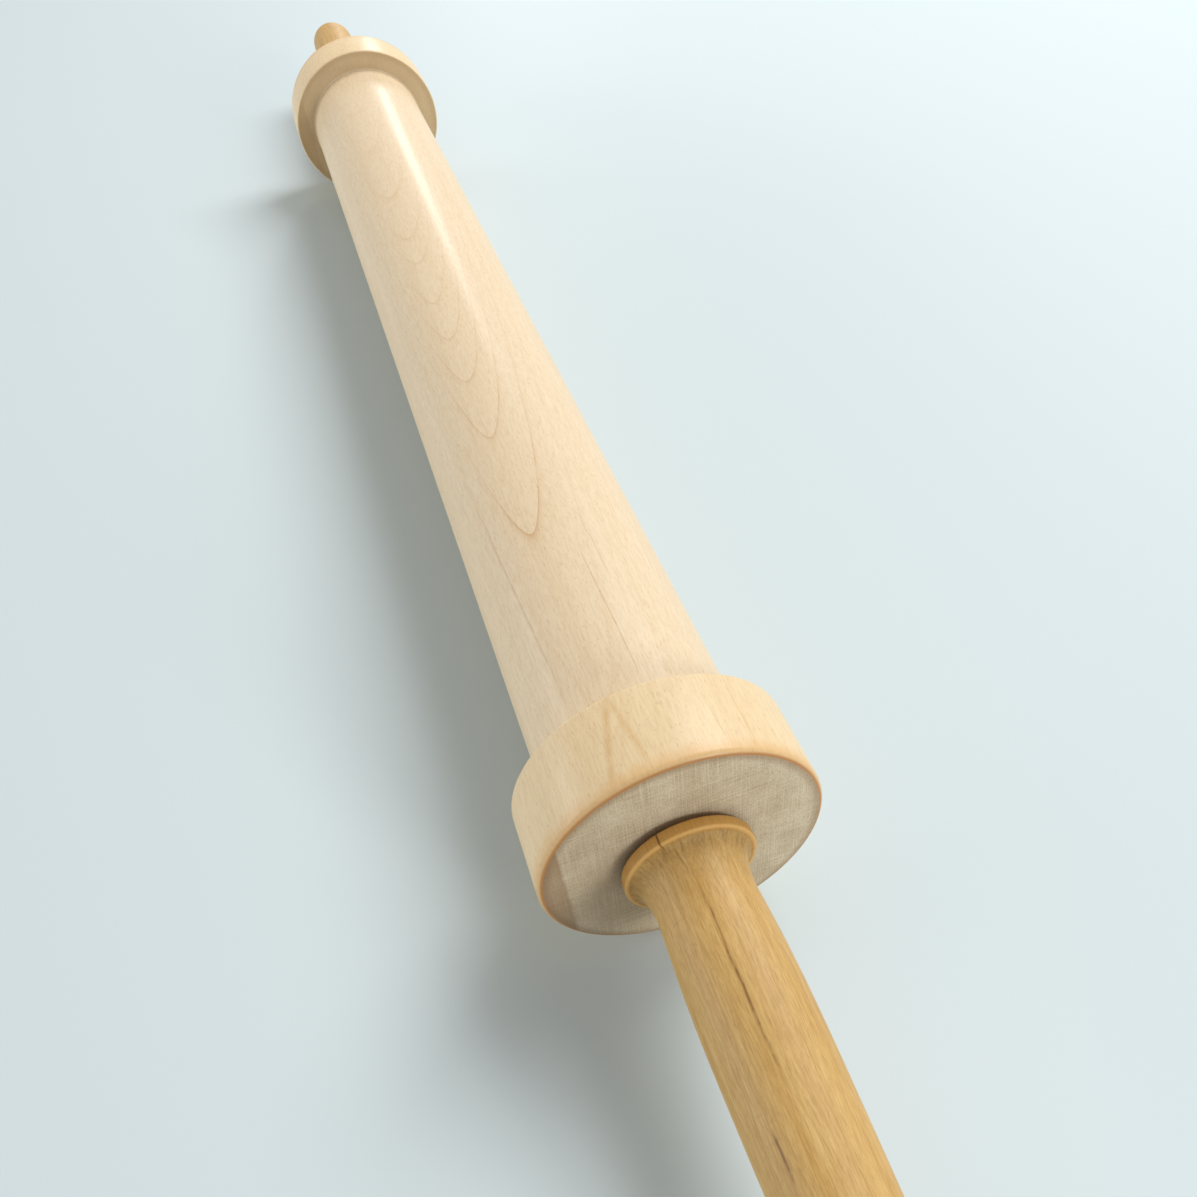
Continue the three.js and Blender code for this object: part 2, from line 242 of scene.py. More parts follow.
# %% Hang the lamps
WORLD_LIGHT = (1.0, 0.985, 0.96, 1.0)
WORLD_STRENGTH = 0.35
BACKDROP_STRENGTH = 0.75
DAYLIGHT = (1.0, 0.985, 0.96)
LAMPS = {
    # place in metres, width and height in metres, fan in degrees, power in watts
    "side_window": ((-0.66, 1.21, 1.72), (1.20, 1.20), 180, 38.6),
    "far_window": ((-1.92, 0.47, 0.75), (0.20, 0.62), 180, 4.6),
    "left_wall": ((-0.55, -1.95, 0.36), (1.80, 0.50), 70, 3.6),
    "front_window": ((1.20, 0.50, 0.50), (0.35, 0.35), 180, 5.1),
}


def hang_lamp(name, place, size, fan, power):
    data = bpy.data.lights.new(name, "AREA")
    data.shape = "RECTANGLE"
    data.size, data.size_y = size
    data.spread = math.radians(fan)
    data.energy = power
    data.color = DAYLIGHT
    lamp = bpy.data.objects.new(name, data)
    lamp.location = place
    lamp.rotation_euler = Vector(place).to_track_quat("Z", "Y").to_euler()
    scene.collection.objects.link(lamp)


world = bpy.data.worlds.new("room")
world.use_nodes = True
world_sheet = Sheet(world.node_tree)
rays_that_show = ("Is Camera Ray", "Is Glossy Ray", "Is Transmission Ray")
seen, mirrored_ray, through_glass = world_sheet.node("ShaderNodeLightPath", output=rays_that_show)
shown = world_sheet.maths("MINIMUM", seen + mirrored_ray + through_glass, 1.0)
strength = WORLD_STRENGTH + (BACKDROP_STRENGTH - WORLD_STRENGTH) * shown
world_sheet.fill(world.node_tree.nodes["Background"], {"Color": WORLD_LIGHT, "Strength": strength})
scene.world = world
for name, lamp in LAMPS.items():
    hang_lamp(name, *lamp)
print("lamps:", ", ".join(LAMPS))

# %% [markdown]
# ## Measuring the solids
#
# Each dressed piece goes where its solid is. What a box can tell is read from the solids, and only the rest
# is written down, in millimetres along the axle and outwards from it. A turned solid has flat facets: its
# box ends at the flats, and its corners, which lie on the true radius, are a little further out.

# %% Measure along the axle and outwards
BARREL_FACETS = 48


def span(node):
    """Where a solid starts and ends along the axle."""
    low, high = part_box(node)
    return low.x / MM, high.x / MM


def true_radius(node, facets):
    """How far from the axle the corners of a turned solid lie."""
    low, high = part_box(node)
    return (high.z - low.z) / 2 / MM / math.cos(math.pi / facets)


axle_low, axle_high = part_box("axle")
AXLE_HEIGHT = (axle_low.z + axle_high.z) / 2 / MM
BARREL_END = span("barrel")[1]
RIM_RADIUS = true_radius("barrel", BARREL_FACETS)
print("axle", round(AXLE_HEIGHT, 3), "mm over the bench, rims", round(2 * RIM_RADIUS, 2), "mm across")

# %% [markdown]
# ## Wood as a solid
#
# Wood isn't a picture wrapped round a shape. It is a solid of growth rings round a pith, with fibres along
# the stem and thin rays from the pith outwards, and turning cuts through it. Drawn as a solid, one recipe
# gives the pointed arches on the barrel, the straight lines on its flanks and the dots and arcs on the end
# faces, with no seams. The recipe needs the distance from the pith, which leans a little against the axle:
# that lean is what makes arches, because the barrel's top then cuts slowly through ring after ring.
#
# Noise with long cells along the stem makes fibres. Noise that is narrow round the pith and long away from
# it makes rays.

# %% Measure a point in its tree
SLOW_WAVER = (140, 38, 1.0)
QUICK_WAVER = (30, 9, 1.0)
QUICK_SHARE = 0.22
TURNING_RADIUS = 20
RAY_EDGE = (0.6, 0.74)
BUMP_STRENGTH = 0.35


class Solid(Sheet):
    """The sheet of a material that is drawn as a solid, and the place of a point in it."""

    def __init__(self, name):
        self.material, self.shader = start_material(name)
        super().__init__(self.material.node_tree)
        x, y, z = self.split(self.node("ShaderNodeTexCoord", output="Object"))
        self.x, self.y, self.z = x / MM, y / MM, z / MM - AXLE_HEIGHT
        self.radius = self.distance(self.y, self.z)

    def grain(self, along, across, detail=2.0, roughness=0.5):
        """Noise whose cells are so many millimetres long along the stem and so many wide."""
        cells = self.vector(self.x / along, self.y / across, self.z / across)
        return self.noise(cells, detail, roughness)

    def relief(self, height, depth):
        sockets = {"Height": height, "Strength": BUMP_STRENGTH, "Distance": depth}
        return self.node("ShaderNodeBump", {}, sockets)


class Wood(Solid):
    """A solid with a pith, which lies opposite the facing angle."""

    def __init__(self, name, facing, depth, lean, waver):
        super().__init__(name)
        angle = math.radians(facing)
        across = self.y * math.cos(angle) - self.z * math.sin(angle)
        outward = self.y * math.sin(angle) + self.z * math.cos(angle) + depth + self.x * lean
        slow = self.grain(*SLOW_WAVER) - 0.5
        quick = self.grain(*QUICK_WAVER) - 0.5
        self.from_pith = self.distance(across, outward) + slow * waver + quick * (waver * QUICK_SHARE)
        self.around = self.maths("ARCTAN2", across, outward) * (depth + TURNING_RADIUS)
        self.turn = self.maths("ARCTAN2", self.y, self.z) * math.degrees(1)

    def rays(self, short, thin, long):
        """Flecks where rays are cut: short along the stem, thin round the pith, long away from it."""
        cells = self.vector(self.x / short, self.around / thin, self.from_pith / long)
        return self.ease(self.noise(cells, detail=1.0), *RAY_EDGE)


print("rings waver over", SLOW_WAVER[0], "and", QUICK_WAVER[0], "mm of stem")

# %% [markdown]
# ## Marks in the wood
#
# Mineral streaks, drying checks and the odd dark ring are single marks, which no noise would put in the
# right place. Each is written down as it lies: where it starts and ends along the axle, its angle round the
# axle at both ends, half its width, and how strong it is. A slow noise lets it wander, and it fades at both
# ends. The rest of a wood's colour is laid on in coats, one tint after another, each where its mask shows.

# %% Draw one mark and lay on coats
WANDER_CELL = 9
WANDER_REACH = 1.1
BREAK_CELL = 4
BREAK_EDGE = (0.35, 0.6)
MARK_FADE = 0.3


def mark(wood, radius, values):
    """Angles are in degrees round the axle, 0 at the top and positive to the right."""
    start, end, first, last, half_width, strength = values
    share = (wood.x - start) / (end - start)
    middle = first + share * (last - first)
    wander = wood.noise(wood.vector(wood.x / WANDER_CELL, first, 0.0)) - 0.5
    offset = abs((wood.turn - middle) * math.radians(radius) + wander * WANDER_REACH)
    ends = wood.ease(share, 0.0, MARK_FADE) * (1 - wood.ease(share, 1 - MARK_FADE, 1.0))
    broken = wood.ease(wood.noise(wood.vector(wood.x / BREAK_CELL, last, 0.0)), *BREAK_EDGE)
    return (1 - wood.ease(offset, 0.0, half_width)) * ends * (0.5 + 0.5 * broken) * strength


def lay_on(wood, colour, coats, masks):
    for name, mask in masks.items():
        strength, coat = coats[name]
        colour = wood.mix(mask * strength, colour, coat)
    return colour


print("a mark fades over", MARK_FADE, "of its length at each end")

# %% [markdown]
# ## Maple for the barrel
#
# The barrel is hard maple with a thin satin finish: creamy, with a few fine brown ring lines that close in
# pointed arches towards the near end, faint fibres, and short flecks where rays are cut. Across the end
# faces the pores stand open and drink the oil, so they are greyer and darker, sanding has left fine lines
# both ways, and the outer edges are burnished to orange by the turning. Evenly spaced rings would be easy,
# but real ones are neither evenly wide nor evenly dark, so one curve counts the rings and another sets how
# dark each line is. Their points put the lines where the arches are.

# %% Count the rings
RINGS = [
    # distance from the pith in mm, number, darkness of the line that ends there
    (25.0, -28, 0.0),
    (67.0, -7, 0.12),
    (78.9, -1, 0.1),
    (81.94, 0, 1.0),
    (84.13, 1, 0.9),
    (85.46, 2, 0.75),
    (86.65, 3, 0.5),
    (87.76, 4, 0.4),
    (89.11, 5, 0.5),
    (90.01, 6, 0.5),
    (91.75, 7, 0.6),
    (94.12, 8, 0.2),
    (135.0, 29, 0.0),
]
ABOVE_ZERO = 100
LEFT_BEND = 0.0127
TIP_BEND = 0.02
TIP_ROUNDING = 0.3
ARM_REACH = (3, 12)
ARM_GROWTH = (-120, 120)
RIGHT_ARM_FADE = (0.6, 1.7)
LEFT_ARM_FADE = (0.35, 0.9)
PATCH_CELL = (14, 3)
PATCH_EDGE = (0.3, 0.62)
LINE_SHARPNESS = 30


def ring_curve(wood, distance, column):
    low, high = RINGS[0][0], RINGS[-1][0]
    values = [ring[column] for ring in RINGS]
    base, rise = min(values), max(values) - min(values)
    points = [((ring[0] - low) / (high - low), (ring[column] - base) / rise) for ring in RINGS]
    share = (distance - low) / (high - low)
    return wood.node("ShaderNodeFloatCurve", {"points": points}, {"Value": share}) * rise + base


def maple_rings(wood):
    """Position between two rings from 0 to 1, and the thin dark line that ends a ring."""
    around = wood.around
    left = wood.maths("MINIMUM", around, 0.0)
    tip = wood.maths("SQRT", around * around + TIP_ROUNDING)
    bent = wood.from_pith - (left * left * LEFT_BEND + tip * TIP_BEND)
    late = wood.maths("FRACT", ring_curve(wood, bent, 1) + ABOVE_ZERO)
    darkness = ring_curve(wood, bent, 2)
    reach = ARM_REACH[0] + (ARM_REACH[1] - ARM_REACH[0]) * wood.ease(wood.x, *ARM_GROWTH)
    right_arm = 1 - wood.ease(around / reach, *RIGHT_ARM_FADE)
    left_arm = 1 - wood.ease(around / reach * -1, *LEFT_ARM_FADE)
    patches = wood.noise(wood.vector(wood.x / PATCH_CELL[0], around / PATCH_CELL[1], 0.0))
    patch = wood.ease(patches, *PATCH_EDGE)
    line = late ** LINE_SHARPNESS * darkness * (0.1 + 0.9 * (right_arm * left_arm)) * (0.4 + 0.6 * patch)
    return late, line


print("ring lines from", RINGS[1][0], "to", RINGS[-2][0], "mm from the pith")

# %% Draw the maple across the grain
END_PORES = (7, 0.4, 2.0, 0.7)
OPEN_PORE = (0.42, 0.68)
END_CLOUDS = (9, 9, 3.0)
CLOUD_EDGE = (0.25, 0.75)
CLOUD_TINTS = (tint(192, 171, 138), tint(219, 203, 173))
SANDING_LENGTH = 22
SANDING_WIDTH = 0.2
SANDING_LEANS = (0.12, 0.08)
SANDED = (0.45, 0.68)
# Heart stain and painted shade: darker round the collar, centred below-left where its shadow falls.
STAIN_AND_SHADE_CENTRE = (-5, -7)
STAIN_AND_SHADE_EDGE = (14, 29)
SAPWOOD_LEAN = 0.127
SAPWOOD_EDGE = (-30.6, -29.4)
SCORCHED = (34.5, 37.2)
# Painted bounce light: the rims' inner faces are painted warmer, for light thrown back by the barrel.
PAINTED_BOUNCE_FADE = (229, 252)
END_COATS = {
    "pores": (0.5, tint(146, 121, 88)),
    "sanding": (0.34, tint(240, 229, 204)),
    "heart": (0.8, tint(144, 115, 83)),
    "sapwood": (0.6, tint(152, 118, 82)),
    "scorch": (0.5, tint(142, 106, 66)),
    "shoulder": (0.7, tint(214, 184, 140)),
}


def maple_end_grain(wood):
    """Colour and open pores across the grain, with a stain, painted shade and painted bounce light."""
    y, z = wood.y, wood.z
    pores = wood.ease(wood.grain(*END_PORES), *OPEN_PORE)
    cloud = wood.grain(*END_CLOUDS)
    lines_across = wood.vector(0.0, y / SANDING_LENGTH, (z - y * SANDING_LEANS[0]) / SANDING_WIDTH)
    lines_up = wood.vector(0.0, (y + z * SANDING_LEANS[1]) / SANDING_WIDTH, z / SANDING_LENGTH)
    sanding = [wood.ease(wood.noise(lines), *SANDED) for lines in (lines_across, lines_up)]
    from_heart = wood.distance(y - STAIN_AND_SHADE_CENTRE[0], z - STAIN_AND_SHADE_CENTRE[1])
    colour = wood.mix(wood.ease(cloud, *CLOUD_EDGE), *CLOUD_TINTS)
    colour = lay_on(wood, colour, END_COATS, {
        "pores": pores,
        "sanding": sanding[0] + sanding[1],
        # a heart stain with painted shade of the collar and handle round the collar
        "heart": (1 - wood.ease(from_heart, *STAIN_AND_SHADE_EDGE)) * cloud,
        "sapwood": 1 - wood.ease(y + z * SAPWOOD_LEAN + cloud * 2, *SAPWOOD_EDGE),
        "scorch": wood.ease(wood.radius + cloud, *SCORCHED),
        # painted bounce light from the barrel on the rims' inner faces
        "shoulder": 1 - wood.ease(abs(wood.x), *PAINTED_BOUNCE_FADE),
    })
    return colour, pores


print("end grain:", ", ".join(END_COATS))

# %% Mark the maple
RIM_HEIGHT = 9.525
ROLLING_RADIUS = RIM_RADIUS - RIM_HEIGHT
MARK_TINT = tint(168, 122, 74)
RIM_MARK_TINT = tint(202, 156, 92)
ROLLING_MARKS = [
    # start mm, end mm, angle at start, angle at end, half width mm, strength
    (116.0, 228.0, -52.5, -40.0, 0.70, 0.34),
    (162.0, 226.0, -1.2, 1.0, 0.34, 0.40),
    (150.0, 188.0, 8.0, 9.5, 0.30, 0.30),
]
RIM_MARKS = [
    (222.0, 258.0, -16.5, -30.7, 1.7, 0.50),
    (222.0, 254.0, -20.0, -12.7, 1.4, 0.42),
    (231.0, 253.5, 15.0, 16.0, 0.5, 0.3),
    (232.0, 252.0, 27.0, 27.6, 0.6, 0.3),
]


def maple_marks(wood, colour, rim):
    for values in ROLLING_MARKS:
        colour = wood.mix(mark(wood, ROLLING_RADIUS, values) * (1 - rim), colour, MARK_TINT)
    for values in RIM_MARKS:
        colour = wood.mix(mark(wood, RIM_RADIUS, values) * rim, colour, RIM_MARK_TINT)
    return colour


print("marks on the barrel:", len(ROLLING_MARKS), "and on its near rim:", len(RIM_MARKS))

# %% Draw the maple
RIM_WIDTH = 25.4
RIM_END_ROUNDING = 1.8
RIM_INNER_ROUNDING = 0.8
ROLLING_HALF = BARREL_END - RIM_WIDTH
MAPLE_PITH = {"facing": -22.5, "depth": 60.0, "lean": -0.043, "waver": 0.8}
MAPLE_FIBRES = (5, 0.5, 3.0, 0.65)
MAPLE_STREAKS = (90, 3.2)
MAPLE_RAYS = (1.5, 0.5, 6)
FIBRE_EDGE = (0.35, 0.8)
STREAK_TINTS = (tint(224, 202, 167), tint(235, 216, 186))
RIM_EDGE = (30, 36)
END_FACE = (0.93, 0.995)
BURNT = (0.66, 0.93)
WARMED = (250.5, 255.5)
RIPPLE_CELL = (0.5, 3)
MAPLE_RELIEF = 0.08 * MM
MAPLE_COATS = {
    "rim": (0.55, tint(233, 206, 156)),
    "late_wood": (0.16, tint(216, 180, 132)),
    "fibres": (0.42, tint(202, 168, 122)),
    "flecks": (0.28, tint(188, 152, 106)),
    "ring_lines": (0.62, tint(186, 122, 62)),
    "warm_edge": (0.5, tint(214, 160, 84)),
    "burnt_edge": (0.8, tint(180, 112, 36)),
}


def maple():
    wood = Wood("maple", **MAPLE_PITH)
    rim = wood.ease(wood.radius, *RIM_EDGE)
    late, line = maple_rings(wood)
    line = line * (1 - rim * 0.85)
    fibre = wood.grain(*MAPLE_FIBRES)
    streak = wood.grain(*MAPLE_STREAKS)
    fleck = wood.rays(*MAPLE_RAYS)
    outer_face = (abs(wood.x) - (BARREL_END - RIM_END_ROUNDING)) / RIM_END_ROUNDING
    inner_face = 1 - abs(abs(wood.x) - ROLLING_HALF) / RIM_INNER_ROUNDING
    end = wood.ease(wood.maths("MAXIMUM", outer_face, inner_face), *END_FACE)
    end_colour, pores = maple_end_grain(wood)

    colour = lay_on(wood, wood.mix(streak, *STREAK_TINTS), MAPLE_COATS, {
        "rim": rim,
        "late_wood": late ** 5,
        "fibres": wood.ease(fibre, *FIBRE_EDGE),
        "flecks": fleck,
    })
    colour = lay_on(wood, maple_marks(wood, colour, rim), MAPLE_COATS, {
        "ring_lines": line,
        "warm_edge": wood.ease(abs(wood.x) + streak * 4, *WARMED) * rim,
        "burnt_edge": wood.ease(outer_face, *BURNT) * rim,
    })

    ripple = wood.noise(wood.vector(wood.x / RIPPLE_CELL[0], wood.around / RIPPLE_CELL[1], 0.0))
    height = fibre * 0.7 + ripple * 0.6 - line * 0.25 - fleck * 0.4 - pores * end
    wood.fill(wood.shader, {
        "Base Color": wood.mix(end, colour, end_colour),
        "Roughness": 0.50 + end * 0.2 + fibre * 0.08,
        "Specular IOR Level": 0.35,
        "Coat Weight": 0.25,
        "Coat Roughness": 0.25,
        "Normal": wood.relief(height, MAPLE_RELIEF),
    })
    return wood.material


finishes = {"barrel_maple": maple()}
print("maple:", len(finishes["barrel_maple"].node_tree.nodes), "nodes")

# %% [markdown]
# ## Birch for the handles
#
# The handles are a darker, ochre birch with a soft sheen. Their figure is straight: fine short pores along
# the grain, soft broader bands, and a few dark mineral streaks. The near handle has two such streaks on its
# upper side, and a short drying check across its collar that runs on into the cove. Where the cove cuts
# across the grain, the open pores drink stain and stand out as dark dashes, and the collar's thin edge is
# rubbed to a warmer gold. The collar's narrow front face carries a painted highlight, lighter where the
# front window catches it. The maple's recipe serves again with other sizes. Its rings aren't counted one by
# one, because no arch shows on a handle.

# %% Find the collar and the cove
HANDLE_BACK, HANDLE_TIP = span("near_handle")
COLLAR_THICKNESS = 3.4
COLLAR_FRONT = HANDLE_BACK + COLLAR_THICKNESS
COVE_STARTS = (-0.6, -0.2)
COVE_FADES = (0.7, 7.2)
COVE_RADII = (12.9, 14.5)
DASH_CELL = (4.2, 3.2, 9)
DASH_EDGE = (0.42, 0.76)
EDGE_RADII = (15.6, 16.9)
# Painted highlight: the collar's narrow front face is painted lighter where the front window catches it.
LIP_HIGHLIGHT_PLACE = -0.1
LIP_HIGHLIGHT_WIDTH = (0.15, 0.5)
LIP_HIGHLIGHT_RADII = (16.2, 16.8)


def collar_masks(wood):
    """Where the cove, its dashes, the rubbed edge and the painted highlight on the collar's front show."""
    front = abs(wood.x) - COLLAR_FRONT
    cove = wood.ease(front, *COVE_STARTS) * (1 - wood.ease(front, *COVE_FADES))
    cove = cove * wood.ease(wood.radius, *COVE_RADII)
    cells = zip((wood.turn, wood.radius, wood.x), DASH_CELL)
    dash = wood.noise(wood.vector(*(place / cell for place, cell in cells)), roughness=0.6)
    # painted highlight on the collar's narrow front face
    lip = 1 - wood.ease(abs(front - LIP_HIGHLIGHT_PLACE), *LIP_HIGHLIGHT_WIDTH)
    return {
        "cove": cove,
        "dashes": cove * wood.ease(dash, *DASH_EDGE),
        "rubbed_edge": wood.ease(wood.radius, *EDGE_RADII),
        "lip": lip * wood.ease(wood.radius, *LIP_HIGHLIGHT_RADII),
    }


print("the cove starts", round(COLLAR_FRONT - BARREL_END, 2), "mm from the barrel")

# %% Draw the birch
GRIP_RADIUS = 13.4
BIRCH_PITH = {"facing": 55, "depth": 46, "lean": 0.02, "waver": 2.4}
BIRCH_RING = 2.9
BIRCH_FIBRES = (4.5, 0.38, 3.0, 0.7)
BIRCH_PORES = (3.4, 0.34, 1.0)
BIRCH_BANDS = (60, 2.6)
BIRCH_STREAKS = (26, 0.8)
BIRCH_RAYS = (1.1, 0.3, 5)
BAND_TINTS = (tint(192, 149, 79), tint(221, 189, 126))
PORE_EDGE = (0.58, 0.70)
DARK_STREAK = (0.4, 0.7)
DARK_FIBRE = (0.34, 0.72)
BIRCH_RELIEF = 0.06 * MM
BIRCH_COATS = {
    "late_wood": (0.16, tint(180, 132, 62)),
    "streaks": (0.3, tint(172, 127, 62)),
    "fibres": (0.50, tint(164, 119, 55)),
    "pores": (0.16, tint(132, 90, 38)),
    "flecks": (0.14, tint(150, 104, 46)),
    "cove": (0.3, tint(158, 122, 62)),
    "dashes": (0.52, tint(120, 86, 34)),
    "rubbed_edge": (0.5, tint(206, 146, 60)),
    # painted highlight on the collar's narrow front face
    "lip": (0.55, tint(236, 190, 116)),
}
MINERAL_TINT = tint(96, 58, 18)
BIRCH_MARKS = [
    # start mm, end mm, angle at start, angle at end, half width mm, strength
    (266.0, 321.0, -13.6, -14.4, 0.55, 0.78),
    (323.0, 336.0, -43.2, -41.8, 0.60, 0.80),
    (255.0, 260.4, -29.8, -29.8, 0.36, 0.90),
    (259.0, 267.0, -22.6, -18.0, 0.36, 0.45),
]


def birch():
    wood = Wood("birch", **BIRCH_PITH)
    fibre = wood.grain(*BIRCH_FIBRES)
    pore = wood.ease(wood.grain(*BIRCH_PORES), *PORE_EDGE)
    fleck = wood.rays(*BIRCH_RAYS)
    collar = collar_masks(wood)

    colour = wood.mix(wood.grain(*BIRCH_BANDS), *BAND_TINTS)
    colour = lay_on(wood, colour, BIRCH_COATS, {
        "late_wood": wood.maths("FRACT", wood.from_pith / BIRCH_RING) ** 4,
        "streaks": wood.ease(wood.grain(*BIRCH_STREAKS), *DARK_STREAK),
        "fibres": wood.ease(fibre, *DARK_FIBRE),
        "pores": pore,
        "flecks": fleck,
        **collar,
    })
    for values in BIRCH_MARKS:
        colour = wood.mix(mark(wood, GRIP_RADIUS, values), colour, MINERAL_TINT)

    height = fibre * 0.5 - pore * 0.5 - fleck * 0.3
    wood.fill(wood.shader, {
        "Base Color": colour,
        "Roughness": 0.46 + fibre * 0.10 + collar["cove"] * 0.10,
        "Specular IOR Level": 0.4,
        "Normal": wood.relief(height, BIRCH_RELIEF),
    })
    return wood.material


finishes["handle_birch"] = birch()
print("birch:", len(finishes["handle_birch"].node_tree.nodes), "nodes")

# %% [markdown]
# ## A lathe made of nodes
#
# Nearly every piece of the pin is turned, so one tree of Geometry Nodes is the lathe for all of them. Its
# input is an outline: points that say how far along the axle and how far from it the tool stood. A grid has
# one row for each point and one column for each side, and Set Position moves its corners round the axle.
# Merging corners that meet closes the seam and the poles. Curve to Mesh along a circle could do it as well,
# but the grid also lets the radius follow a helix, which makes a real screw thread. Every tree begins with
# named inputs, and ends by smoothing gentle edges, making instances real and setting the finish.

# %% Begin and end a tree
SMOOTH_ANGLE = math.radians(28)


def start_tree(name, inputs):
    tree = bpy.data.node_groups.new(name, "GeometryNodeTree")
    for label, kind in inputs.items():
        tree.interface.new_socket(name=label, in_out="INPUT", socket_type="NodeSocket" + kind)
    tree.interface.new_socket(name="Geometry", in_out="OUTPUT", socket_type="NodeSocketGeometry")
    sheet = Sheet(tree)
    return sheet, dict(zip(inputs, sheet.node("NodeGroupInput", output=tuple(inputs))))


def end_tree(sheet, geometry, finish):
    geometry = sheet.node("GeometryNodeSetShadeSmooth", {"domain": "FACE"}, {"Geometry": geometry})
    angle = sheet.node("GeometryNodeInputMeshEdgeAngle")
    soft = sheet.maths("LESS_THAN", angle, SMOOTH_ANGLE)
    sockets = {"Geometry": geometry, "Shade Smooth": soft}
    geometry = sheet.node("GeometryNodeSetShadeSmooth", {"domain": "EDGE"}, sockets)
    geometry = sheet.node("GeometryNodeRealizeInstances", {}, {"Geometry": geometry})
    geometry = sheet.node("GeometryNodeSetMaterial", {}, {"Geometry": geometry, "Material": finish})
    sheet.node("NodeGroupOutput", {}, {"Geometry": geometry}, output=())
    return sheet.tree


print("edges under", round(math.degrees(SMOOTH_ANGLE)), "degrees are smoothed")

# %% Build the lathe tree
WELD = 2e-6
CREST = 0.14
ROOT = 0.2
THREAD_SIZES = ("Thread Pitch", "Thread Depth", "Thread Start", "Thread End", "Thread Reach")
LATHE_INPUTS = {
    "Outline": "Geometry",
    "Sides": "Int",
    "Closed": "Int",
    "Axle Height": "Float",
    **dict.fromkeys(THREAD_SIZES, "Float"),
    "Finish": "Material",
}


def lathe_tree():
    sheet, given = start_tree("lathe", LATHE_INPUTS)
    outline, sides = given["Outline"], given["Sides"]
    points = sheet.node("GeometryNodeAttributeDomainSize", {"component": "MESH"}, {"Geometry": outline})
    columns = sides + 1
    sockets = {"Vertices X": points + given["Closed"], "Vertices Y": columns}
    grid = sheet.node("GeometryNodeMeshGrid", {}, sockets)
    index = sheet.node("GeometryNodeInputIndex")
    row = sheet.maths("FLOOR", index / columns)
    turn = (index - row * columns) / sides
    sample = {"Geometry": outline, "Value": sheet.node("GeometryNodeInputPosition")}
    sample["Index"] = sheet.maths("FLOORED_MODULO", row, points)
    sampled = sheet.node("GeometryNodeSampleIndex", {"data_type": "FLOAT_VECTOR"}, sample)
    along, radius = sheet.node("ShaderNodeSeparateXYZ", {}, {0: sampled}, output=("X", "Z"))

    zigzag = sheet.maths("PINGPONG", along / given["Thread Pitch"] + turn, 0.5) * 2
    flanks = {"Value": zigzag, "From Min": CREST, "From Max": 1 - ROOT}
    wave = sheet.node("ShaderNodeMapRange", {}, flanks)
    inside = sheet.maths("GREATER_THAN", abs(along), given["Thread Start"])
    inside = inside * sheet.maths("LESS_THAN", abs(along), given["Thread End"])
    inside = inside * sheet.maths("LESS_THAN", radius, given["Thread Reach"])
    radius = radius - wave * inside * given["Thread Depth"]

    angle = turn * math.tau
    sideways = radius * sheet.maths("SINE", angle)
    upwards = radius * sheet.maths("COSINE", angle) + given["Axle Height"]
    place = sheet.vector(along, sideways, upwards)
    turned = sheet.node("GeometryNodeSetPosition", {}, {"Geometry": grid, "Position": place})
    welded = sheet.node("GeometryNodeMergeByDistance", {}, {"Geometry": turned, "Distance": WELD})
    return end_tree(sheet, welded, given["Finish"])


lathe = lathe_tree()
print("lathe:", len(lathe.nodes), "nodes")

# %% [markdown]
# ## Using the lathe
#
# An outline runs the same way round every piece, so that its faces look outwards: the shoelace sum tells the
# direction, and an outline that runs the other way is reversed. A modifier's inputs are set by identifier
# before the piece is first looked at. The result is then copied to a plain mesh, because later steps need
# one. The sum of its signed volumes is printed: it is positive when the faces look outwards.

# %% Draw an outline
def arc(centre, reach, start, end, steps):
    """Outline points on a round or oval stretch. Angles are in degrees, 0 along the axle and 90 outwards."""
    points = []
    for step in range(steps + 1):
        angle = math.radians(start + (end - start) * step / steps)
        points.append((centre[0] + reach[0] * math.cos(angle), centre[1] + reach[1] * math.sin(angle)))
    return points


def stretch(first, last, steps):
    """Outline points on a straight stretch, without its two ends."""
    shares = [step / steps for step in range(1, steps)]
    return [tuple(a + (b - a) * share for a, b in zip(first, last)) for share in shares]


def mirrored(outline):
    return [(-along, radius) for along, radius in reversed(outline)]


def shoelace(points):
    following = points[1:] + points[:1]
    return sum(a[0] * b[1] - b[0] * a[1] for a, b in zip(points, following)) / 2


print("half a disc of radius 1 covers", round(shoelace(arc((0, 0), (1, 1), 0, 180, 64)), 2))

# %% Turn a piece
NO_THREAD = (1.0, 0.0, 0.0, 0.0, 0.0)
STEEL_SIDES = 64


def volume_of(mesh):
    mesh.calc_loop_triangles()
    total = 0.0
    for triangle in mesh.loop_triangles:
        a, b, c = (mesh.vertices[index].co for index in triangle.vertices)
        total += a.dot(b.cross(c)) / 6
    return total


def plain_piece(name, source, tree, settings):
    holder = bpy.data.objects.new(name, source)
    scene.collection.objects.link(holder)
    modifier = holder.modifiers.new(tree.name, "NODES")
    modifier.node_group = tree
    sockets = {item.name: item.identifier for item in tree.interface.items_tree if item.in_out == "INPUT"}
    for label, value in settings.items():
        modifier[sockets[label]] = value
    evaluated = holder.evaluated_get(bpy.context.evaluated_depsgraph_get())
    mesh = bpy.data.meshes.new_from_object(evaluated)
    holder.modifiers.clear()
    holder.data = mesh
    mesh.name = name
    print(f"{name}: {len(mesh.polygons)} faces, {volume_of(mesh) / MM ** 3:.0f} mm3")
    return holder


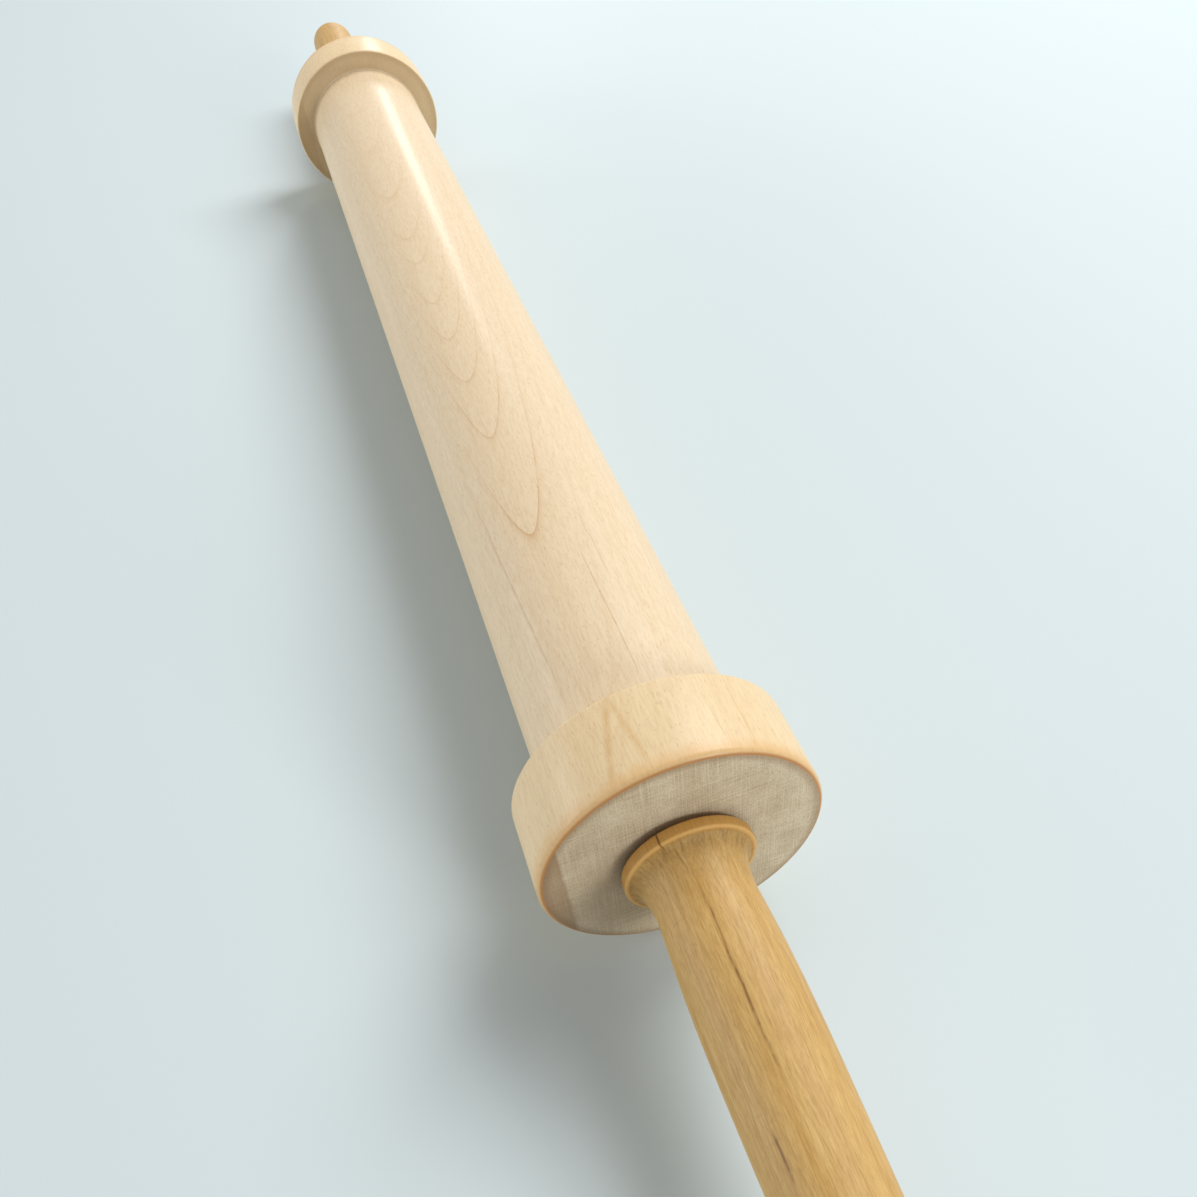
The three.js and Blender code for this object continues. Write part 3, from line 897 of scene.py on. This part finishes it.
def turn_piece(name, outline, slot, sides=STEEL_SIDES, closed=True, thread=NO_THREAD):
    points = outline if shoelace(outline) < 0 else outline[::-1]
    source = bpy.data.meshes.new(name + "_outline")
    source.from_pydata([(along * MM, 0, radius * MM) for along, radius in points], [], [])
    lengths = {"Axle Height": AXLE_HEIGHT, **dict(zip(THREAD_SIZES, thread))}
    settings = {label: length * MM for label, length in lengths.items()}
    settings |= {"Sides": sides, "Closed": int(closed), "Finish": finishes[slot]}
    return plain_piece(name, source, lathe, settings)


def dress(piece, body, slot, *nodes):
    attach(piece, body)
    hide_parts(*nodes)


print("the lathe turns along X at", round(AXLE_HEIGHT, 2), "mm")

# %% [markdown]
# ## The barrel
#
# One turned piece of maple: the rolling surface, a small fillet up to each rim, rims with a soft inner edge
# and a rounder outer one, and the stepped bore in which the bearings are pressed. Cylinders could be joined
# to it, but an outline is what a turner works to, and it gives every edge its own rounding. Half the outline
# is written down, and the other half is its mirror image. Pressed and screwed seats have a small gap.

# %% Turn the barrel
FIT_GAP = 0.05
STEEL_FACETS = 24
BEARING_BACK, BEARING_FRONT = span("near_outer_race")
OUTER_RACE_RADIUS = true_radius("near_outer_race", STEEL_FACETS)
SEAT_RADIUS = OUTER_RACE_RADIUS + FIT_GAP
SEAT_FLOOR = BEARING_BACK - FIT_GAP
RELIEF_RADIUS = 9.871
RELIEF_FLOOR = SEAT_FLOOR - 3.0
THROUGH_RADIUS = 7.674
SHOULDER_FILLET = 0.8
BARREL_SIDES = 192
LENGTHWISE = 28


def barrel_half():
    fillet = (ROLLING_HALF - SHOULDER_FILLET, ROLLING_RADIUS + SHOULDER_FILLET)
    inner = (ROLLING_HALF + RIM_INNER_ROUNDING, RIM_RADIUS - RIM_INNER_ROUNDING)
    outer = (BARREL_END - RIM_END_ROUNDING, RIM_RADIUS - RIM_END_ROUNDING)
    outline = arc(fillet, (SHOULDER_FILLET, SHOULDER_FILLET), -90, 0, 6)
    outline += arc(inner, (RIM_INNER_ROUNDING, RIM_INNER_ROUNDING), 180, 90, 6)
    outline += arc(outer, (RIM_END_ROUNDING, RIM_END_ROUNDING), 90, 0, 10)
    outline += stretch((BARREL_END, outer[1]), (BARREL_END, SEAT_RADIUS), 6)
    outline += [
        (BARREL_END, SEAT_RADIUS),
        (SEAT_FLOOR, SEAT_RADIUS),
        (SEAT_FLOOR, RELIEF_RADIUS),
        (RELIEF_FLOOR, RELIEF_RADIUS),
        (RELIEF_FLOOR, THROUGH_RADIUS),
    ]
    return outline


def both_halves(half):
    """A whole outline from its near half, with points along the straight stretch between the halves."""
    start = half[0]
    return mirrored(half) + stretch((-start[0], start[1]), start, LENGTHWISE) + half


barrel = turn_piece("barrel_turned", both_halves(barrel_half()), "barrel_maple", BARREL_SIDES)
dress(barrel, "barrel", "barrel_maple", "barrel")

# %% [markdown]
# ## The handles
#
# A handle starts with a thin collar beside the barrel. Behind the collar's front edge a cove dives to the
# neck, and the grip swells a little before it draws in to a domed end. The swell could be an arc, but a
# smooth curve through three points follows the real one more closely. Both ends of the pin are alike, so
# one helper turns a piece for the near end and its mirror image for the far end.

# %% Draw a turner's template
TANGENT_SHARE = 1 / 6


def through(points, steps):
    """A smooth curve through outline points. At each it runs level with the line between its neighbours."""
    places = [Vector(point) for point in (points[0], *points, points[-1])]
    curve = []
    for before, start, end, after in zip(places, places[1:], places[2:], places[3:]):
        leaving = start + (end - before) * TANGENT_SHARE
        arriving = end - (after - start) * TANGENT_SHARE
        curve += interpolate_bezier(start, leaving, arriving, end, steps + 1)[:-1]
    return [tuple(place) for place in curve] + [points[-1]]


print("template:", [round(radius, 2) for along, radius in through([(0, 1), (1, 2), (2, 1)], 2)])

# %% Turn the handles
HANDLE_FACETS = 30
HANDLE_LENGTH = HANDLE_TIP - HANDLE_BACK
COLLAR_RADIUS = true_radius("near_handle", HANDLE_FACETS)
COLLAR_ROUNDING = 0.7
COVE_LIP = 0.9
COVE_LENGTH = 10.5
NECK_RADIUS = 12.7
BELLY = (45.0, 13.5)
GRIP_END_RADIUS = 11.9
DOME_LENGTH = 11.0
INSERT_END = span("near_insert")[1]
INSERT_RADIUS = 6.3625
FLANGE_RADIUS = true_radius("near_insert", STEEL_FACETS)
FLANGE_THICKNESS = 1.2
HOLE_DEPTH = INSERT_END - HANDLE_BACK + 2.0
HOLE_RADIUS = INSERT_RADIUS + FIT_GAP
FLANGE_FLOOR = FLANGE_THICKNESS + FIT_GAP
FLANGE_HOLE_RADIUS = FLANGE_RADIUS + FIT_GAP
HANDLE_SIDES = 128


def handle_outline():
    neck = (COLLAR_THICKNESS + COVE_LENGTH, NECK_RADIUS)
    dome = HANDLE_LENGTH - DOME_LENGTH
    round_reach = (COLLAR_ROUNDING, COLLAR_ROUNDING)
    edge_radius = COLLAR_RADIUS - COLLAR_ROUNDING
    cove_centre = (neck[0], COLLAR_RADIUS - COVE_LIP)
    outline = [
        (HOLE_DEPTH, 0.0),
        (HOLE_DEPTH, HOLE_RADIUS),
        (FLANGE_FLOOR, HOLE_RADIUS),
        (FLANGE_FLOOR, FLANGE_HOLE_RADIUS),
        (0.0, FLANGE_HOLE_RADIUS),
    ]
    outline += arc((COLLAR_ROUNDING, edge_radius), round_reach, 180, 90, 6)
    outline += arc((COLLAR_THICKNESS - COLLAR_ROUNDING, edge_radius), round_reach, 90, 0, 6)
    outline += arc(cove_centre, (COVE_LENGTH, cove_centre[1] - neck[1]), 180, 270, 20)
    outline += through([neck, BELLY, (dome, GRIP_END_RADIUS)], 16)[1:]
    outline += arc((dome, 0.0), (DOME_LENGTH, GRIP_END_RADIUS), 90, 0, 16)[1:-1]
    outline.append((HANDLE_LENGTH, 0.0))
    return [(HANDLE_BACK + along, radius) for along, radius in outline]


def at_both_ends(kind, outline, body, slot, **making):
    for end, shown in (("near", outline), ("far", mirrored(outline))):
        piece = turn_piece(f"{end}_{kind}_turned", shown, slot, **making)
        dress(piece, body, slot, f"{end}_{kind}")


at_both_ends("handle", handle_outline(), "axle", "handle_birch", sides=HANDLE_SIDES, closed=False)

# %% [markdown]
# ## Metals and nylon
#
# Little of the inside shows while the pin is whole: only the spacer, in the gap beside the collar. Each
# piece still has the look of how it is made. Drawn rod has fine lines along it, turned and ground pieces
# have rings round the axle, pressed sheet and blackened spring steel are cloudy, and lapped balls are almost
# perfectly smooth. All of these are one recipe: noise with cells that are long in the direction of the lines
# changes the colour and the roughness a little. Where a lathe left rings, the noise reads only the place
# along the axle and the radius. Moulded nylon has no lines, only a soft cloudiness.

# %% Draw the metals and the nylon
METALS = {
    # colour, roughness, size in mm of the noise's cells along the axle and across it (None for rings)
    "axle_steel": ((0.40, 0.41, 0.42), 0.30, 25.0, 0.15),
    "spacer_steel": ((0.50, 0.51, 0.53), 0.26, 0.12, None),
    "race_steel": ((0.52, 0.54, 0.56), 0.20, 0.08, None),
    "shield_steel": ((0.45, 0.46, 0.48), 0.34, 0.9, 0.9),
    "ball_steel": ((0.66, 0.67, 0.69), 0.06, 1.5, 1.5),
    "spring_steel": ((0.040, 0.043, 0.045), 0.42, 0.5, 0.5),
    "insert_brass": ((0.48, 0.30, 0.07), 0.28, 0.12, None),
}
DULLING = 0.75
NYLON_CLOUDS = (2, 2, 3.0)
NYLON_TINTS = ((0.70, 0.65, 0.53, 1.0), (0.79, 0.76, 0.66, 1.0))


def metal(name):
    bright, roughness, along, across = METALS[name]
    piece = Solid(name)
    if across:
        lines = piece.grain(along, across)
    else:
        lines = piece.noise(piece.vector(piece.x / along, piece.radius / along, 0.0))
    dull = [value * DULLING for value in bright]
    piece.fill(piece.shader, {
        "Base Color": piece.mix(lines, (*dull, 1.0), (*bright, 1.0)),
        "Roughness": roughness * (1.3 - lines * 0.6),
        "Metallic": 1.0,
    })
    return piece.material


def nylon():
    piece = Solid("cage_nylon")
    cloud = piece.grain(*NYLON_CLOUDS)
    look = {"Base Color": piece.mix(cloud, *NYLON_TINTS), "Roughness": 0.38 + cloud * 0.2}
    piece.fill(piece.shader, look)
    return piece.material


finishes |= {name: metal(name) for name in METALS}
finishes["cage_nylon"] = nylon()
print("finishes:", ", ".join(finishes))

# %% [markdown]
# ## The axle
#
# A drawn steel rod runs right through the pin. Near each end it has a narrow groove for a snap ring, then
# the seat of the bearing, then a thread for the handle, and a short plain point that leads the thread in. A
# thread follows a helix, so a small profile could be swept along one. The lathe already knows each corner's
# angle, so it sinks the radius by a wave along the helix instead. Rows of points close together give the
# wave its shape.

# %% Turn the axle
AXLE_END = span("axle")[1]
AXLE_RADIUS = true_radius("axle", STEEL_FACETS)
RING_BACK, RING_FRONT = span("near_snap_ring")
GROOVE_BACK = RING_BACK - FIT_GAP
GROOVE_FRONT = RING_FRONT + FIT_GAP
GROOVE_RADIUS = AXLE_RADIUS - 0.35
SPACER_BACK, SPACER_FRONT = span("near_spacer")
JOURNAL_END = SPACER_FRONT - 0.4
THREAD_RADIUS = 3.9625
THREAD_START = HANDLE_BACK + 0.4
THREAD_END = AXLE_END - 0.9
THREAD_PITCH = 25.4 / 18
THREAD_DEPTH = 0.6
THREAD_REACH = 4.2
POINT_RADIUS = 3.3
ROWS_PER_PITCH = 16
EDGE = 0.25


def thread_rows(radius, end):
    step = THREAD_PITCH / ROWS_PER_PITCH
    rows = math.floor((end - THREAD_START) / step)
    return [(THREAD_START + step * row, radius) for row in range(rows + 1)]


def thread_to(end):
    return THREAD_PITCH, THREAD_DEPTH, THREAD_START - EDGE, end, THREAD_REACH


axle_half = [
    (GROOVE_BACK, AXLE_RADIUS),
    (GROOVE_BACK, GROOVE_RADIUS),
    (GROOVE_FRONT, GROOVE_RADIUS),
    (GROOVE_FRONT, AXLE_RADIUS),
    (JOURNAL_END - EDGE, AXLE_RADIUS),
    (JOURNAL_END, AXLE_RADIUS - EDGE),
    (JOURNAL_END, THREAD_RADIUS),
    *thread_rows(THREAD_RADIUS, THREAD_END),
    (THREAD_END, POINT_RADIUS),
    (AXLE_END - EDGE, POINT_RADIUS),
    (AXLE_END, POINT_RADIUS - EDGE),
    (AXLE_END, 0.0),
]
axle_making = {"closed": False, "thread": thread_to(THREAD_END)}
axle = turn_piece("axle_turned", both_halves(axle_half), "axle_steel", **axle_making)
dress(axle, "axle", "axle_steel", "axle")

# %% [markdown]
# ## Inserts and spacers
#
# Wood is too soft for a fine thread, so a brass insert sits in each handle: a threaded sleeve with a flange,
# and two grooves in which the glue holds. Between the handle and the bearing a short steel sleeve, the
# spacer, presses on the inner race alone, so that the handle is screwed tight and the barrel still runs
# free. Both are turned, and the lathe's wave cuts the insert's thread too.

# %% Turn the inserts and the spacers
INSERT_BORE = THREAD_RADIUS + FIT_GAP
FLANGE_END = HANDLE_BACK + FLANGE_THICKNESS
GLUE_GROOVES = (262.0, 270.0)
GLUE_WIDTH = 3.0
GLUE_DEPTH = 0.5
SPACER_RADIUS = true_radius("near_spacer", STEEL_FACETS)
SLEEVE_BORE = AXLE_RADIUS + FIT_GAP


def sleeve(start, end, bore, radius):
    """A plain ring with broken edges."""
    return [
        (start, bore + EDGE),
        (start, radius - EDGE),
        (start + EDGE, radius),
        (end - EDGE, radius),
        (end, radius - EDGE),
        (end, bore + EDGE),
        (end - EDGE, bore),
        (start + EDGE, bore),
    ]


insert_outline = [
    (HANDLE_BACK, INSERT_BORE + 2 * EDGE),
    (HANDLE_BACK, FLANGE_RADIUS - EDGE),
    (HANDLE_BACK + EDGE, FLANGE_RADIUS),
    (FLANGE_END, FLANGE_RADIUS),
    (FLANGE_END, INSERT_RADIUS),
]
for groove in GLUE_GROOVES:
    insert_outline += [
        (groove, INSERT_RADIUS),
        (groove + GLUE_DEPTH, INSERT_RADIUS - GLUE_DEPTH),
        (groove + GLUE_WIDTH - GLUE_DEPTH, INSERT_RADIUS - GLUE_DEPTH),
        (groove + GLUE_WIDTH, INSERT_RADIUS),
    ]
insert_outline += [
    (INSERT_END - EDGE, INSERT_RADIUS),
    (INSERT_END, INSERT_RADIUS - EDGE),
    (INSERT_END, INSERT_BORE + 2 * EDGE),
    *reversed(thread_rows(INSERT_BORE, INSERT_END - EDGE)),
]
spacer_outline = sleeve(SPACER_BACK, SPACER_FRONT, SLEEVE_BORE, SPACER_RADIUS)
at_both_ends("insert", insert_outline, "axle", "insert_brass", thread=thread_to(INSERT_END))
at_both_ends("spacer", spacer_outline, "axle", "spacer_steel")

# %% [markdown]
# ## The bearings' races and shields
#
# A deep-groove ball bearing is the most exacting piece of the pin. Each race is a ground ring with a round
# groove a little wider than a ball: the inner one sits on the axle, and the outer one is pressed into the
# barrel. A dished sheet-steel shield closes each side. It is held in a step of the outer race and stays
# clear of the inner one. All of them are turned from outlines about the bearing's own middle.

# %% Turn the races and the shields
BEARING_CENTRE = (BEARING_BACK + BEARING_FRONT) / 2
BEARING_HALF = (BEARING_FRONT - BEARING_BACK) / 2
ball_low, ball_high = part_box("near_ball_1")
PITCH_RADIUS = (ball_low.y + ball_high.y) / 2 / MM
BALL_RADIUS = (ball_high.y - ball_low.y) / 2 / MM
TRACK_RADIUS = BALL_RADIUS + 0.15
INNER_LAND = true_radius("near_inner_race", STEEL_FACETS)
OUTER_LAND = 2 * PITCH_RADIUS - INNER_LAND
SHIELD_BACK, SHIELD_FRONT = (place - BEARING_CENTRE for place in span("near_outer_shield"))
SHIELD_RADIUS = true_radius("near_outer_shield", STEEL_FACETS)
SHIELD_HOLE = 6.7525
SHIELD_SHEET = 0.22
SHIELD_BEND = (8.95, 9.25)
STEP_FLOOR = SHIELD_BACK - FIT_GAP
STEP_RADIUS = SHIELD_RADIUS + FIT_GAP


def in_bearing(outline):
    return [(BEARING_CENTRE + along, radius) for along, radius in outline]


def groove_arc(middle):
    """The ball's track, facing the ball from below (middle 270) or from above (middle 90)."""
    opening = math.degrees(math.acos((PITCH_RADIUS - INNER_LAND) / TRACK_RADIUS))
    first = middle - opening if middle > 180 else middle + opening
    return arc((0.0, PITCH_RADIUS), (TRACK_RADIUS, TRACK_RADIUS), first, 2 * middle - first, 20)


inner_race = sleeve(-BEARING_HALF, BEARING_HALF, SLEEVE_BORE, INNER_LAND)
inner_race[3:3] = groove_arc(270)
outer_race = [
    (-BEARING_HALF, STEP_RADIUS),
    (-STEP_FLOOR, STEP_RADIUS),
    (-STEP_FLOOR, OUTER_LAND),
    *groove_arc(90),
    (STEP_FLOOR, OUTER_LAND),
    (STEP_FLOOR, STEP_RADIUS),
    (BEARING_HALF, STEP_RADIUS),
    (BEARING_HALF, OUTER_RACE_RADIUS - EDGE),
    (BEARING_HALF - EDGE, OUTER_RACE_RADIUS),
    (EDGE - BEARING_HALF, OUTER_RACE_RADIUS),
    (-BEARING_HALF, OUTER_RACE_RADIUS - EDGE),
]
shield = [
    (SHIELD_BACK, SHIELD_RADIUS),
    (SHIELD_BACK, SHIELD_BEND[1]),
    (SHIELD_FRONT - SHIELD_SHEET, SHIELD_BEND[0]),
    (SHIELD_FRONT - SHIELD_SHEET, SHIELD_HOLE),
    (SHIELD_FRONT, SHIELD_HOLE),
    (SHIELD_FRONT, SHIELD_BEND[0]),
    (SHIELD_BACK + SHIELD_SHEET, SHIELD_BEND[1]),
    (SHIELD_BACK + SHIELD_SHEET, SHIELD_RADIUS),
]
at_both_ends("inner_race", in_bearing(inner_race), "axle", "race_steel")
at_both_ends("outer_race", in_bearing(outer_race), "barrel", "race_steel")
at_both_ends("outer_shield", in_bearing(shield), "barrel", "shield_steel")
at_both_ends("inner_shield", in_bearing(mirrored(shield)), "barrel", "shield_steel")

# %% [markdown]
# ## Balls and cages
#
# Seven balls repeat round each bearing, so Geometry Nodes place them: points on a circle, and a ball on each
# point. The cage that keeps them apart is a nylon crown. Its pockets follow the same circle, so a second
# tree puts a drill at each of those points and takes the drills out of a turned ring. One side of every
# pocket is left open and a little narrower than the ball, which is how the balls snap in. The far bearing is
# the near one turned half round about the upright, so its direction is -1.

# %% Place the balls
BALL_COUNT = 7
BALL_DETAIL = 4
CIRCLE_INPUTS = {
    "Ring": "Geometry",
    "Count": "Int",
    "Pitch Radius": "Float",
    "Centre": "Float",
    "Axle Height": "Float",
    "Direction": "Float",
    "Size": "Float",
    "Finish": "Material",
}


def on_circle(sheet, given, shape):
    """The shape on each point of the bearing's circle, turned so that its Z axis points outwards."""
    direction = given["Direction"]
    angle = sheet.node("GeometryNodeInputIndex") * math.tau / given["Count"]
    sideways = given["Pitch Radius"] * sheet.maths("COSINE", angle) * direction
    upwards = given["Pitch Radius"] * sheet.maths("SINE", angle) + given["Axle Height"]
    place = sheet.vector(given["Centre"] * direction, sideways, upwards)
    points = sheet.node("GeometryNodePoints", {}, {"Count": given["Count"], "Position": place})
    lean = sheet.vector((angle - math.pi / 2) * direction, 0.0, 0.0)
    sockets = {"Points": points, "Instance": shape, "Rotation": lean}
    return sheet.node("GeometryNodeInstanceOnPoints", {}, sockets)


def ball_tree():
    sheet, given = start_tree("balls", CIRCLE_INPUTS)
    sockets = {"Radius": given["Size"], "Subdivisions": BALL_DETAIL}
    ball = sheet.node("GeometryNodeMeshIcoSphere", {}, sockets)
    return end_tree(sheet, on_circle(sheet, given, ball), given["Finish"])


def bearing_circle(direction, size, finish):
    return {
        "Count": BALL_COUNT,
        "Pitch Radius": PITCH_RADIUS * MM,
        "Centre": BEARING_CENTRE * MM,
        "Axle Height": AXLE_HEIGHT * MM,
        "Direction": direction,
        "Size": size * MM,
        "Finish": finishes[finish],
    }


balls = ball_tree()
for end, direction in (("near", 1.0), ("far", -1.0)):
    seed = bpy.data.meshes.new(f"{end}_balls_seed")
    piece = plain_piece(f"{end}_balls", seed, balls, bearing_circle(direction, BALL_RADIUS, "ball_steel"))
    solids = [f"{end}_ball_{number}" for number in range(1, BALL_COUNT + 1)]
    dress(piece, f"{end}_cage", "ball_steel", *solids)

# %% Cut the cages
CAGE_BACK, CAGE_FRONT = (place - BEARING_CENTRE for place in span("near_cage"))
CAGE_BORE = 7.0125
CAGE_RADIUS = 8.92
CAGE_SIDES = 126
DRILL_SIDES = 48


def cage_tree():
    sheet, given = start_tree("crown_cage", CIRCLE_INPUTS)
    sockets = {"Vertices": DRILL_SIDES, "Radius": given["Size"], "Depth": given["Size"] * 4}
    drill = sheet.node("GeometryNodeMeshCylinder", {}, sockets)
    drills = sheet.node("GeometryNodeRealizeInstances", {}, {"Geometry": on_circle(sheet, given, drill)})
    settings = {"operation": "DIFFERENCE", "solver": "EXACT"}
    cut = sheet.node("GeometryNodeMeshBoolean", settings, {"Mesh 1": given["Ring"], "Mesh 2": drills})
    return end_tree(sheet, cut, given["Finish"])


crown_cage = cage_tree()
near_ring = in_bearing(sleeve(CAGE_BACK, CAGE_FRONT, CAGE_BORE, CAGE_RADIUS))
for end, direction, outline in (("near", 1.0, near_ring), ("far", -1.0, mirrored(near_ring))):
    ring = turn_piece(f"{end}_cage_ring", outline, "cage_nylon", CAGE_SIDES)
    settings = bearing_circle(direction, TRACK_RADIUS, "cage_nylon")
    piece = plain_piece(f"{end}_cage_cut", ring.data, crown_cage, settings)
    bpy.data.objects.remove(ring)
    dress(piece, f"{end}_cage", "cage_nylon", f"{end}_cage")

# %% [markdown]
# ## The snap rings
#
# A snap ring in the axle's groove keeps each bearing from moving inwards. It is a flat spring with a gap and
# two lugs with holes for the pliers, so it isn't turned. The solid already has that shape, and only its
# finish is missing.

# %% Blacken the snap rings
for end in ("near", "far"):
    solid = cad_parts[f"{end}_snap_ring"]
    solid.data.materials.clear()
    solid.data.materials.append(finishes["spring_steel"])
    print(solid.name, "keeps its solid,", len(solid.data.polygons), "faces")

# %% [markdown]
# ## The size
#
# The dressed pin has to have the size of its solids.
